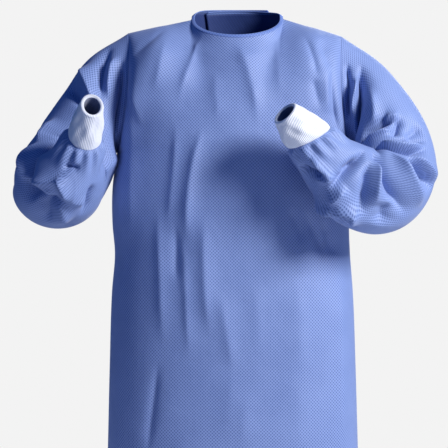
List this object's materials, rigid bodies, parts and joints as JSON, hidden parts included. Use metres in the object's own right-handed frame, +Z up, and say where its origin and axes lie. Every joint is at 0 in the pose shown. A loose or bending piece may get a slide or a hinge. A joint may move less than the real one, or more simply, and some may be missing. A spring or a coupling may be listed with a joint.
{
  "type": "surgical gown",
  "caption": "Long-sleeved surgical gown in its worn shape, forearms raised, with knit cuffs, a bound round neck and a lapped back closed by a neck tab and waist ties.",
  "frame": {"origin": "middle of the neck at the height of the shoulders, where the gown hangs on its wearer", "axes": "+X to the viewer's right, -Y out of the front of the gown, +Z up along the body"},
  "size_m": [0.8829, 0.452, 1.2379],
  "materials": {
    "gown_cloth": "matte bonded nonwoven with a slight sheen",
    "cuff_knit": "matte rib knit",
    "binding": "matte folded nonwoven",
    "tab": "matte hook-and-loop tape",
    "tie_cloth": "matte folded nonwoven"
  },
  "bodies": {
    "root": {"front_panel": "gown_cloth", "back_panel_left": "gown_cloth", "back_panel_right": "gown_cloth", "sleeve_left": "gown_cloth", "sleeve_right": "gown_cloth", "cuff_left": "cuff_knit", "cuff_right": "cuff_knit", "neck_binding": "binding", "neck_tab": "tab", "waist_tie_left": "tie_cloth", "waist_tie_right": "tie_cloth", "waist_knot": "tie_cloth"}
  },
  "joints": []
}
